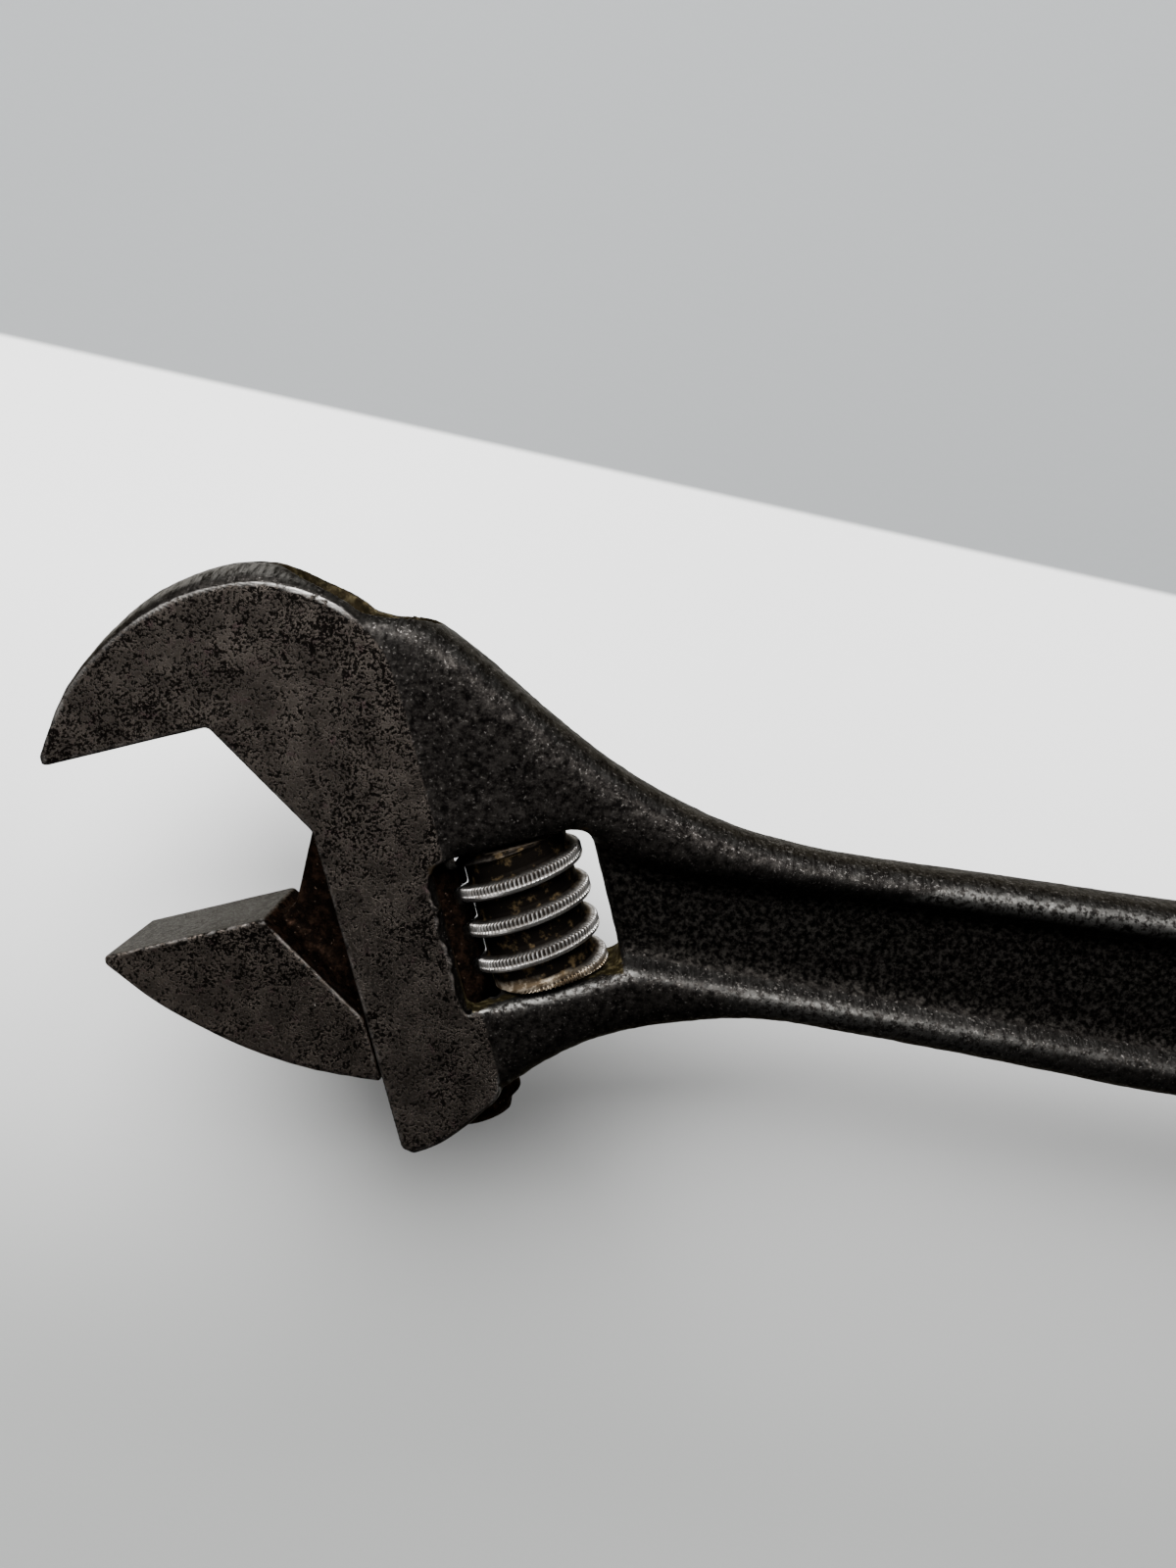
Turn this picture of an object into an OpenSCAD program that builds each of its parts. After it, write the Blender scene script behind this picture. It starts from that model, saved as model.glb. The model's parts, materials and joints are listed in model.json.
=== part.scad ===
// Adjustable wrench, nominal 8 inch pattern: forged body, movable jaw with rack, adjusting knurl, pin, spring.
// Origin: centre of the hanging hole. +X: along the handle to the head. +Y: the movable jaw's side. +Z: out of
// one face. The head is drawn in its own axes: u towards the jaw tips, v in the opening direction, n = +Z.

/* [Head] */
// Thickness of the ground head
head_th = 12.7; // [12:0.1:14]
// Angle between the jaw faces and the handle
head_angle = 22.5; // [20:0.5:25]
// Distance along the handle from the hanging hole to the corner where the slide starts
head_reach = 173.8; // [170:0.1:180]
// Distance from the handle's centre line to the plane of the fixed jaw, across the handle
head_offset = 15; // [14.5:0.1:15.5]
// Length of the fixed jaw, from the slide to its tip
jaw_reach = 22.4; // [21.5:0.1:23]
// Depth of the corner where the throat starts, measured from the slide
throat_u = 6.7; // [6.5:0.1:7]
// Height of the slanting throat below the fixed jaw
throat_v = 11.6; // [11.5:0.1:12]
// Length of the slide, from the fixed jaw's plane to the lower corner
slide_v = 43.6; // [43:0.1:44]

/* [Jaw opening] */
// Opening between the two jaw faces
opening = 18.4; // [18.4:0.1:18.5]
// Running clearance between the jaw's heel and the slide
slide_gap = 0.05; // [0.03:0.01:0.1]

/* [Rack] */
// Distance of the rack's axis from the slide
rack_u = 7.25; // [7.2:0.05:7.3]
// Radius of the round rack
shank_r = 4.65; // [4.6:0.01:4.68]
// Radius of the bore in the head for the rack
bore_r = 4.75; // [4.74:0.01:4.8]
// Thickness of the web that joins jaw and rack
web_th = 4.7; // [4.5:0.1:4.8]
// Width of the slot for the web
slot_th = 5; // [4.9:0.1:5.2]

/* [Knurl and pin] */
// Outer radius of the knurl's thread
knurl_r = 6.35; // [6.3:0.05:6.4]
// Radius of the knurl between the thread's turns
knurl_root_r = 5; // [4.8:0.1:5.1]
// Length of the knurl
knurl_len = 13.7; // [13.5:0.1:13.8]
// Pitch of the thread and of the rack's teeth
pitch = 3.63; // [3.6:0.01:3.65]
// Radius of the pin that the knurl turns on
pin_r = 2; // [1.9:0.05:2.05]
// Radius of the pin's threaded head
pin_head_r = 2.45; // [2.4:0.05:2.6]

/* [Handle] */
// Radius of the rounded end round the hanging hole
end_r = 10.7; // [10.5:0.1:11]
// Radius of the hanging hole
hang_r = 4.5; // [4:0.1:5]
// Half thickness of the handle at its edge ribs
rib_h = 4.6; // [4.4:0.1:4.8]
// Half thickness of the sunken panel
panel_h = 2.3; // [2:0.1:2.5]

/* [Hidden] */
$fn = 64;
half = head_th / 2;
far = 60;            // longer than any cut has to be
knurl_u = 17.19;     // distance of the knurl's axis from the slide
knurl_v = 24.45;     // middle of the knurl, below the fixed jaw's plane
thread_v = 21.74;    // height of one thread crest where it faces the rack
knurl_v0 = knurl_v - knurl_len / 2;
knurl_v1 = knurl_v + knurl_len / 2;
window = [[9.6, 17.3], [24.75, 31.75]];  // distance from the slide and height of two opposite corners
window_corner_r = 1.2;
shank_v = [9.8, 44];                     // the rack's two ends at this opening
shank_len = shank_v[1] - shank_v[0];
lead_angle = atan(pitch / (2 * PI * knurl_r));

// The ground face's outline over the fixed jaw, from the tip to the neck: [u, v, swell at mid thickness]
crown_keys = [[22.4, -1, 0], [18, -6.4, 0.8], [12, -10, 1.6], [6, -11.8, 2.1], [0, -11.7, 2.2],
    [-4, -10.4, 1.6], [-8, -7.6, 1.1], [-10.6, -3.2, 0.3], [-11.3, 3, 0]];
// The same along the head's lower edge, from the neck to the slide
foot_keys = [[-11, 36, 0], [-10.7, 40.2, 0.4], [-8, 41.9, 0.9], [-4, 43.8, 0.8], [-1, 44.4, 0]];
// The movable jaw's outline with the jaw closed, from the slide to the tip
beak_keys = [[0.3, 18.1, 0], [6, 15.4, 1], [12, 11.5, 1.1], [18, 6.2, 0.7], [21.4, 2, 0.2], [22.3, 0.8, 0]];

// Handle tables: [distance from the slide's corner along the handle, value]
top_keys = [[3.5, -9.6], [6.5, -10.9], [9, -10.7], [11.5, -10.5], [14.5, -9.2], [17.8, -7.3], [24.8, -2.9],
    [31, 0.5], [38, 3.4], [46, 5.4], [55, 6.1], [70, 5.9], [87, 5.7], [120, 5.2], [150, 4.6], [173.8, 4.3]];
bottom_keys = [[3.5, 0], [10, 10], [16, 21], [20, 29], [23, 34], [25, 34.4], [27.5, 32.2], [30, 30.2],
    [33.4, 28], [37, 26.4], [40.7, 25.2], [45.5, 24], [50, 23.4], [60, 23.6], [75, 24.2], [87, 24.8],
    [120, 25.3], [150, 25.6], [173.8, 25.7]];
flank_keys = [[3.5, 2.4], [20, 2.8], [32, 3], [45, 2.3], [55, 2], [174, 2]];
panel_top_keys = [[24, 9.2], [29.7, 7.4], [33, 8.7], [37, 9.5], [45, 9.7], [60, 9.4], [90, 9.1], [165, 8.4]];
panel_bottom_keys = [[24, 19], [33, 19], [45, 19.3], [60, 19.6], [90, 20.4], [165, 21.6]];
// Half thickness against the distance from the slide, square to the jaw's travel
thickness_keys = [[0, 6.15], [11.5, 6.15], [18, 5.8], [25, 5.35], [33, 5], [45, rib_h + 0.1], [60, rib_h]];
panel_start = [28, 31.5];  // where the panel fades in, behind the knurl's window
panel_end = 156;           // where the panel's round end begins
panel_slope = 1.5;         // width of the panel's sloping side
stations = concat([3.5, 6], [for (x = [8.5 : 2.5 : 58.5]) x], [for (x = [66 : 10 : 150]) x],
    [for (x = [154 : 2 : 166]) x], [170, head_reach]);
end_angles = [12, 24, 36, 47, 57, 66, 74, 81];  // cross-sections of the rounded end, round the hanging hole

// ---- curves ----
function smooth(t) = let (c = min(max(t, 0), 1)) c * c * (3 - 2 * c);
function span(k, x, i = 0) = (i >= len(k) - 2 || x < k[i + 1][0]) ? i : span(k, x, i + 1);
function grade(k, i) = let (a = max(i - 1, 0), b = min(i + 1, len(k) - 1)) (k[b][1] - k[a][1]) / (k[b][0] - k[a][0]);
// Smooth curve through a table of [x, y]
function track(k, x) = let (i = span(k, x), w = k[i + 1][0] - k[i][0], t = min(max((x - k[i][0]) / w, 0), 1))
    (2 * t ^ 3 - 3 * t ^ 2 + 1) * k[i][1] + (t ^ 3 - 2 * t ^ 2 + t) * w * grade(k, i)
    + (3 * t ^ 2 - 2 * t ^ 3) * k[i + 1][1] + (t ^ 3 - t ^ 2) * w * grade(k, i + 1);
// Smooth curve through points of any dimension, with n steps between two of them
function between(p, i, t) = let (a = p[max(i - 1, 0)], b = p[i], c = p[i + 1], d = p[min(i + 2, len(p) - 1)])
    0.5 * (2 * b + (c - a) * t + (2 * a - 5 * b + 4 * c - d) * t ^ 2 + (3 * b - a - 3 * c + d) * t ^ 3);
function curve(p, n) = concat([for (i = [0 : len(p) - 2], k = [0 : n - 1]) between(p, i, k / n)], [p[len(p) - 1]]);
// Each point moved outwards, to the left of the run, by its own swell times k
function swollen(p, k) = [for (i = [0 : len(p) - 1])
    let (t = p[min(i + 1, len(p) - 1)] - p[max(i - 1, 0)], l = norm([t[0], t[1]]))
    [p[i][0] - t[1] / l * p[i][2] * k, p[i][1] + t[0] / l * p[i][2] * k]];
// Closed skin over rings of equal length
function skin_faces(rings, n) = concat(
    [[for (i = [n - 1 : -1 : 0]) i]],
    [for (r = [0 : rings - 2], i = [0 : n - 1]) let (a = r * n, b = a + n, j = (i + 1) % n) [a + i, a + j, b + j]],
    [for (r = [0 : rings - 2], i = [0 : n - 1]) let (a = r * n, b = a + n, j = (i + 1) % n) [a + i, b + j, b + i]],
    [[for (i = [0 : n - 1]) (rings - 1) * n + i]]);

// ---- frames ----
module head_axes() { translate([head_reach, -head_offset, 0]) rotate([0, 0, head_angle]) children(); }
// Along the opening direction, starting at height v and distance d behind the slide
module along_v(d, v) { translate([-d, v, 0]) rotate([-90, 0, 0]) children(); }
module rounded_rectangle(a, b, r) {
    translate([a[0] + r, a[1]]) square([b[0] - a[0] - 2 * r, b[1] - a[1]]);
    translate([a[0], a[1] + r]) square([b[0] - a[0], b[1] - a[1] - 2 * r]);
    for (x = [a[0] + r, b[0] - r], y = [a[1] + r, b[1] - r]) translate([x, y]) circle(r);
}

// ---- wrench body ----
crown = curve(crown_keys, 3);
foot = curve(foot_keys, 3);
upper_levels = [[1.9, 0.96], [3.8, 0.82], [5.4, 0.5], [half, 0]];  // [height, share of the swell]
swell_levels = concat([for (i = [len(upper_levels) - 1 : -1 : 0]) [-upper_levels[i][0], upper_levels[i][1]]],
    [[0, 1]], upper_levels);
// A plate with flat faces, whose outline swells towards mid thickness: the runs swell and the corners don't
module swollen_plate(runs, corners) {
    rings = [for (s = swell_levels) concat([for (p = runs, q = swollen(p, s[1])) q], corners)];
    polyhedron([for (i = [0 : len(rings) - 1], q = rings[i]) [q[0], q[1], swell_levels[i][0]]],
        skin_faces(len(rings), len(rings[0])), convexity = 4);
}
module head_plate() {
    swollen_plate([crown, foot], [[0, slide_v], [0, throat_v], [throat_u, 0], [jaw_reach, 0]]);
}

// Half thickness of the forging at distance x along the handle and y across it
function edge_share(d, r) = let (t = 1 - min(max(d / r, 0), 1)) (1 - t ^ 2.4) ^ (1 / 2.2);
function panel_share(x, y, y0, y1) = let (c = (y0 + y1) / 2, reach = (y1 - y0) / 2 + panel_slope / 2,
    off = x > panel_end ? norm([x - panel_end, y - c]) : abs(y - c))
    smooth((reach - off) / panel_slope) * smooth((x - panel_start[0]) / (panel_start[1] - panel_start[0]));
function forging_h(x, y, y0, y1, r, p0, p1) =
    let (u = x * cos(head_angle) - y * sin(head_angle), h = track(thickness_keys, max(u, 0)),
        full = h * edge_share(min(y - y0, y1 - y), r), m = panel_share(x, y, p0, p1))
    full * (1 - m) + min(full, panel_h) * m;
flank_steps = [0.05, 0.16, 0.34, 0.6, 1];
slope_steps = [-0.5, -0.25, 0, 0.25, 0.5];
// One cross-section of the forging, as a closed ring in [across, height]
function forging_ring(x) =
    let (y0 = track(top_keys, x), y1 = track(bottom_keys, x), r = track(flank_keys, x),
        p0 = max(y0 + r + panel_slope / 2, track(panel_top_keys, max(x, panel_top_keys[0][0]))),
        p1 = max(p0 + panel_slope, min(y1 - r - panel_slope / 2, track(panel_bottom_keys, max(x, 24)))),
        lower = min(p0, y1 - r - 2.5 * panel_slope), upper = max(lower + panel_slope, min(p1, y1 - r)),
        ys = concat([for (f = flank_steps) y0 + f * r], [for (f = slope_steps) lower + f * panel_slope],
            [for (f = [1, 2]) lower + (upper - lower) * f / 3],
            [for (f = slope_steps) upper + f * panel_slope], [for (i = [4 : -1 : 0]) y1 - flank_steps[i] * r]),
        side = [for (y = ys) [y, forging_h(x, y, y0, y1, r, lower, upper)]])
    concat([[y0, 0]], side, [[y1, 0]], [for (i = [len(side) - 1 : -1 : 0]) [side[i][0], -side[i][1]]]);
// The same across the rounded end, a degrees from the line square to the handle through the hanging hole
function end_ring(a, n) =
    let (x = end_r * sin(a), w = end_r * cos(a), r = flank_keys[len(flank_keys) - 1][1],
        side = [for (i = [0 : n - 1]) let (y = -w * cos(180 * (i + 0.7) / (n + 0.4)))
            [y, rib_h * edge_share(end_r - norm([x, y]), r)]])
    concat([[-w, 0]], side, [[w, 0]], [for (i = [n - 1 : -1 : 0]) [side[i][0], -side[i][1]]]);
module handle_forging() {
    last = len(stations) - 1;
    handle_rings = [for (i = [last : -1 : 0]) [for (q = forging_ring(stations[i]))
        [head_reach - stations[i], q[0] - head_offset, q[1]]]];
    across = len(handle_rings[0]) / 2 - 1;
    end_rings = [for (i = [len(end_angles) - 1 : -1 : 0]) [for (q = end_ring(end_angles[i], across))
        [-end_r * sin(end_angles[i]), q[0], q[1]]]];
    rings = concat(end_rings, handle_rings);
    polyhedron([for (r = rings, q = r) q], skin_faces(len(rings), len(rings[0])), convexity = 6);
}
// Room for the web from closed to fully open: below the slanting line that its top edge reaches when closed
web_reach = [[throat_u + 2.5, 4.5], [throat_u - 0.6, 0.1], [0, -9.9], [-rack_u, -9.9]];
module web_slot() {
    translate([0, 0, -slot_th / 2]) linear_extrude(slot_th)
        polygon(concat(web_reach, [[-rack_u, far], [far, far]]));
}
// Holes for the pin, [height, length, radius]: blind hole over the window, shaft and screw holes under it
pin_holes = [[10.5, 10, pin_r + 0.02], [30, 6, pin_r + 0.02], [34, 20, pin_head_r + 0.05]];
module wrench_body() {
    color([0.36, 0.34, 0.32]) difference() {
        union() {
            head_axes() head_plate();
            handle_forging();
        }
        cylinder(h = far, r = hang_r, center = true);
        head_axes() {
            translate([0, 0, -far / 2]) linear_extrude(far)
                rounded_rectangle([-window[1][0], window[0][1]], [-window[0][0], window[1][1]], window_corner_r);
            along_v(rack_u, -far / 2) cylinder(h = 2 * far, r = bore_r);
            intersection() {
                web_slot();
                translate([-rack_u, -far / 2, -far / 2]) cube([rack_u + throat_u, 2 * far, far]);
            }
            for (k = pin_holes) along_v(knurl_u, k[0]) cylinder(h = k[1], r = k[2]);
        }
    }
}

// ---- movable jaw ----
function opened(p) = [for (q = p) len(q) > 2 ? [q[0], q[1] + opening, q[2]] : [q[0], q[1] + opening]];
// Rack groove, open towards the knurl: half width at its floor and where it leaves the shank, depth, clearance
groove = [0.78, 1.5];
groove_depth = 6;
groove_clearance = 0.2;
module rack_groove(v) {
    translate([-(knurl_u - knurl_r - groove_clearance), v, 0]) rotate([lead_angle, 0, 0])
        linear_extrude(4 * shank_r, center = true)
            polygon([[0, -groove[0]], [-groove_depth, -groove[1]], [-groove_depth, groove[1]], [0, groove[0]]]);
}
// The web's outline with the jaw closed, from under the jaw round the shank
web_keys = [[4.5, 0.05], [0, -8.6], [-rack_u, -7.7], [-rack_u, 20.5], [-2.5, 19.2], [0.6, 17.5], [8, 2]];
shank_bevel = [0.8, 1.2];  // bevel of the shank's two ends
module movable_jaw() {
    color([0.38, 0.36, 0.34]) head_axes() difference() {
        union() {
            swollen_plate([opened(curve(beak_keys, 3))], opened([[jaw_reach - 0.2, 0], [throat_u, 0],
                [slide_gap, throat_v], [slide_gap, 18.2]]));
            translate([0, 0, -web_th / 2]) linear_extrude(web_th) polygon(opened(web_keys));
            along_v(rack_u, shank_v[0]) rotate_extrude() polygon([[0, 0], [shank_r - shank_bevel[0], 0],
                [shank_r, shank_bevel[0]], [shank_r, shank_len - shank_bevel[1]],
                [shank_r - shank_bevel[1], shank_len], [0, shank_len]]);
        }
        for (k = [-2 : 6]) rack_groove(thread_v + k * pitch);  // every groove between the shank's ends
    }
}

// ---- knurl ----
thread_half = [0.9, 0.6];   // half width of the thread at its root and at its crest
turn_steps = 36;
// Angle 0 faces the rack; the thread climbs in the opening direction, right-handed
function thread_ring(a) = let (v = thread_v + pitch * a / 360)
    [for (q = [[knurl_root_r - 0.25, -thread_half[0]], [knurl_r, -thread_half[1]], [knurl_r, thread_half[1]],
        [knurl_root_r - 0.25, thread_half[0]]]) [q[0] * cos(a), v + q[1], -q[0] * sin(a)]];
thread_start = 360 * (knurl_v0 + 1 - thread_v) / pitch;
thread_end = 360 * (knurl_v1 - 1 - thread_v) / pitch;
module knurl_thread() {
    n = ceil((thread_end - thread_start) * turn_steps / 360);
    rings = [for (i = [0 : n]) thread_ring(thread_start + (thread_end - thread_start) * i / n)];
    polyhedron([for (r = rings, q = r) q], skin_faces(len(rings), 4), convexity = 8);
}
spring_seat = [3.2, 4.2];  // radius and depth of the spring's seat in the knurl
module adjusting_knurl() {
    color([0.55, 0.54, 0.52]) head_axes() difference() {
        union() {
            along_v(knurl_u, knurl_v0) cylinder(h = knurl_len, r = knurl_root_r);
            translate([-knurl_u, 0, 0]) knurl_thread();
        }
        along_v(knurl_u, knurl_v0 - 1) cylinder(h = knurl_len + 2, r = pin_r + 0.05);
        along_v(knurl_u, knurl_v0 - 1) cylinder(h = spring_seat[1] + 1, r = spring_seat[0]);
    }
}

// ---- pin ----
pin_v = [10.8, 34.05, 38.9];  // inner end, underside of the head, outer end
driver_slot = [1, 1];         // width and depth of the slot for a screwdriver
module knurl_pin() {
    color([0.3, 0.29, 0.28]) head_axes() difference() {
        union() {
            along_v(knurl_u, pin_v[0]) cylinder(h = pin_v[2] - pin_v[0], r = pin_r);
            along_v(knurl_u, pin_v[1]) cylinder(h = pin_v[2] - pin_v[1], r = pin_head_r);
        }
        translate([-knurl_u - 2 * pin_head_r, pin_v[2] - driver_slot[1], -driver_slot[0] / 2])
            cube([4 * pin_head_r, 2 * driver_slot[1], driver_slot[0]]);
    }
}

// ---- spring ----
spring_wire_r = 0.25;
spring_r = 2.6;
spring_turns = 5;
module knurl_spring() {
    v0 = window[0][1] + spring_wire_r + 0.03;
    rise = knurl_v0 + spring_seat[1] - spring_wire_r - 0.03 - v0;
    steps = 16 * spring_turns;
    rings = [for (i = [0 : steps]) let (a = 360 * spring_turns * i / steps)
        [for (j = [0 : 7]) let (r = spring_r + spring_wire_r * cos(45 * j))
            [r * cos(a), v0 + rise * i / steps + spring_wire_r * sin(45 * j), -r * sin(a)]]];
    color([0.45, 0.44, 0.42]) head_axes() translate([-knurl_u, 0, 0])
        polyhedron([for (r = rings, q = r) q], skin_faces(len(rings), 8), convexity = 8);
}

wrench_body();
movable_jaw();
adjusting_knurl();
knurl_pin();
knurl_spring();
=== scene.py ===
import json
import math

import bmesh
import bpy
import numpy as np
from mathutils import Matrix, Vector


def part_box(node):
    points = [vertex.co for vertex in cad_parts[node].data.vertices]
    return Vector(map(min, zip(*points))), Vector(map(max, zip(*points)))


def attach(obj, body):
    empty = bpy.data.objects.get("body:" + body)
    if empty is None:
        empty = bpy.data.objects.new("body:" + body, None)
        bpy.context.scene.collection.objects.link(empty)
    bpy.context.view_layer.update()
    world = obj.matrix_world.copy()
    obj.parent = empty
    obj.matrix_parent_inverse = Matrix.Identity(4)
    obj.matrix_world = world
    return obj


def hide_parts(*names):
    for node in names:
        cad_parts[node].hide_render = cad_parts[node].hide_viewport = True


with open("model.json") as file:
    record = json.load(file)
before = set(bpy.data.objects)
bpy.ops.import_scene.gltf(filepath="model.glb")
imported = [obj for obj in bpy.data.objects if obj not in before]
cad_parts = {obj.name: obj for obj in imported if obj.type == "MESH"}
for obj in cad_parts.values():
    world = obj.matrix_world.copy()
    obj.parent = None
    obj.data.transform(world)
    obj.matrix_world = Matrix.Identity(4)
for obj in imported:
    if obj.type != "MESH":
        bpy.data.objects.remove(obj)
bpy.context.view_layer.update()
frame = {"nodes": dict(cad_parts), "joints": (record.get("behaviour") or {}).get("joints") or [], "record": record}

import openvdb as vdb
from mathutils import Matrix, Vector

MM = 0.001
record = frame["record"]
mounts = {m["name"]: m for m in record["mounts"]}
joints = {j["name"]: j for j in frame["joints"]}

# ---- the head's own axes: u towards the jaw tips, v in the opening direction, n out of the face ----
FACE_MOUNT_U = 14.0  # how far the fixed jaw's mount lies from the slide, in mm
N = Vector((0, 0, 1))
V = Vector(joints["jaw_slide"]["axis"]).normalized()
U = V.cross(N)
HEAD = Vector(mounts["fixed_jaw_face"]["pos_m"]) / MM - FACE_MOUNT_U * U
KNURL = Vector(joints["knurl_spin"]["pos_m"]) / MM
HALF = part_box("wrench_body")[1].z / MM  # half the head's thickness
OPENING = (Vector(mounts["movable_jaw_face"]["pos_m"]) / MM - HEAD).dot(V)
BORE_U = -7.25  # the rack bore's axis, from the slide
WINDOW_U, WINDOW_U_FAR = -9.6, -24.75  # the knurl window's edge next to the rack, and its far edge
WINDOW_V = (17.3, 31.75)  # the window's upper and lower edges
GROUND_U = -11.2  # where the ground face ends and the rough forging starts


def head_uv(p):
    """Head coordinates of points in mm, as three arrays."""
    q = p - np.array(HEAD)
    return q @ np.array(U), q @ np.array(V), q[..., 2]


def ramp01(x, lo, hi):
    """Smooth step from 0 at lo to 1 at hi."""
    t = np.clip((x - lo) / (hi - lo), 0, 1)
    return t * t * (3 - 2 * t)


# ---- noise on points, from a seeded table ----
TABLE = np.random.default_rng(7).random(1 << 16).astype(np.float32)


def lattice_noise(p, size, seed):
    """Smooth value noise from -1 to 1, with features about size mm across; size may be one number or three."""
    q = p / np.asarray(size, float) + 1000.5 + 17.3 * seed
    i = np.floor(q).astype(np.int64)
    f = q - i
    f = f * f * (3 - 2 * f)
    out = np.zeros(len(p))
    for dx in (0, 1):
        for dy in (0, 1):
            for dz in (0, 1):
                h = (i[:, 0] + dx) * 73856093 ^ (i[:, 1] + dy) * 19349663 ^ (i[:, 2] + dz) * 83492791 ^ seed * 7919
                w = (f[:, 0] if dx else 1 - f[:, 0]) * (f[:, 1] if dy else 1 - f[:, 1])
                out += w * (f[:, 2] if dz else 1 - f[:, 2]) * TABLE[h & 0xFFFF]
    return out * 2 - 1


# ---- signed distance fields ----
def blur(a, sigma):
    """Gaussian blur of a 3-D array; sigma in voxels."""
    reach = int(math.ceil(2.6 * sigma))
    kernel = np.exp(-0.5 * (np.arange(-reach, reach + 1) / sigma) ** 2)
    kernel /= kernel.sum()
    for axis in range(3):
        padded = np.pad(a, [(reach, reach) if i == axis else (0, 0) for i in range(3)], mode="edge")
        total = np.zeros_like(a)
        for j, weight in enumerate(kernel.astype(np.float32)):
            cut = [slice(None)] * 3
            cut[axis] = slice(j, j + a.shape[axis])
            total += weight * padded[tuple(cut)]
        a = total
    return a


class Field:
    """A CAD node's solid as signed distances in mm on a grid."""

    def __init__(self, node, voxel, band=2.4):
        mesh = frame["nodes"][node].data
        mesh.calc_loop_triangles()
        points = np.zeros(len(mesh.vertices) * 3, np.float32)
        mesh.vertices.foreach_get("co", points)
        corners = np.zeros(len(mesh.loop_triangles) * 3, np.int32)
        mesh.loop_triangles.foreach_get("vertices", corners)
        self.voxel = voxel
        self.transform = vdb.createLinearTransform(voxelSize=voxel)
        grid = vdb.FloatGrid.createLevelSetFromPolygons(points.reshape(-1, 3) / MM,
            triangles=corners.reshape(-1, 3), transform=self.transform, halfWidth=band / voxel)
        low, high = (np.array(c) for c in grid.evalActiveVoxelBoundingBox())
        self.low = low - 2
        self.values = np.zeros(tuple(high - low + 5), np.float32)
        grid.copyToArray(self.values, ijk=tuple(int(c) for c in self.low))
        self.band = band

    def axes(self):
        """Open x, y and z coordinate arrays in mm."""
        size = self.values.shape
        line = [(self.low[k] + np.arange(size[k])) * self.voxel for k in range(3)]
        return line[0][:, None, None], line[1][None, :, None], line[2][None, None, :]

    def head_axes(self):
        """Open u, v and n coordinate arrays in mm."""
        x, y, z = self.axes()
        u = (x - HEAD.x) * U.x + (y - HEAD.y) * U.y
        v = (x - HEAD.x) * V.x + (y - HEAD.y) * V.y
        return u.astype(np.float32), v.astype(np.float32), z.astype(np.float32)

    def mesh(self):
        """Vertices in mm and faces of the zero surface."""
        grid = vdb.FloatGrid(self.band)
        grid.transform = self.transform
        grid.gridClass = vdb.GridClass.LEVEL_SET
        grid.copyFromArray(np.ascontiguousarray(self.values), ijk=tuple(int(c) for c in self.low))
        points, triangles, quads = grid.convertToPolygons(isovalue=0.0, adaptivity=0.0)
        return points.astype(float), [tuple(t[::-1]) for t in triangles] + [tuple(q[::-1]) for q in quads.tolist()]

    def sample(self, array, p):
        """Linear interpolation of an array on this grid at points in mm."""
        q = p / self.voxel - self.low
        i = np.clip(np.floor(q).astype(int), 0, np.array(array.shape) - 2)
        f = np.clip(q - i, 0, 1)
        out = np.zeros(len(p))
        for dx in (0, 1):
            for dy in (0, 1):
                for dz in (0, 1):
                    w = (f[:, 0] if dx else 1 - f[:, 0]) * (f[:, 1] if dy else 1 - f[:, 1])
                    w = w * (f[:, 2] if dz else 1 - f[:, 2])
                    out += w * array[i[:, 0] + dx, i[:, 1] + dy, i[:, 2] + dz]
        return out


def piece_from(name, points_mm, faces):
    """A smooth-shaded mesh object from points in mm."""
    mesh = bpy.data.meshes.new(name)
    mesh.from_pydata((points_mm * MM).tolist(), [], faces)
    mesh.validate()
    mesh.update()
    mesh.polygons.foreach_set("use_smooth", np.ones(len(mesh.polygons), bool))
    piece = bpy.data.objects.new(name, mesh)
    bpy.context.scene.collection.objects.link(piece)
    return piece


def normals_of(piece):
    """The vertex normals as an array."""
    out = np.zeros(len(piece.data.vertices) * 3, np.float32)
    piece.data.vertices.foreach_get("normal", out)
    return out.reshape(-1, 3)


def set_points(piece, points_mm):
    piece.data.vertices.foreach_set("co", (points_mm * MM).astype(np.float32).ravel())
    piece.data.update()


def add_mask(piece, name, values):
    """A per-vertex number that the materials read."""
    layer = piece.data.attributes.new(name, "FLOAT", "POINT")
    layer.data.foreach_set("value", np.clip(values, 0, 1).astype(np.float32))


def keep_inside(points_mm, low, high):
    """Points in mm held within a box whose corners are in metres."""
    return np.clip(points_mm, np.array(low) / MM, np.array(high) / MM)


# ---- the forged body and the movable jaw; lengths in mm ----
BODY_VOXEL, JAW_VOXEL = 0.25, 0.2
INSET = 0.045  # both pieces are drawn in by this, so that they stay clear of each other with the jaws closed
THROAT_U, THROAT_V = 6.7, 11.6  # where the slanting throat starts below the fixed jaw, and where it meets the slide
THROAT_NORMAL = (0.866, 0.5)  # in u and v: 30 degrees, a hexagon's corner
SLOT_HALF, RIM_WEAR = 2.6, 0.65  # half the slot's width, and how far its rim is worn back in the throat
MOUTH_MID_U, MOUTH_SPREAD, MOUTH_R, MOUTH_END_V = -9.1, 1.9, 4.55, 0.8  # the rack bore's run-out into the neck
EDGE_FULL, SWELL_FULL = 0.16, 0.5  # how far a blurred field moves where an edge, or a swell, is at its sharpest


def off_mouth(u, n):
    """Distance from the middle line of the rack bore's run-out."""
    return np.hypot(np.maximum(np.abs(u - MOUTH_MID_U) - MOUTH_SPREAD, 0), n)


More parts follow.
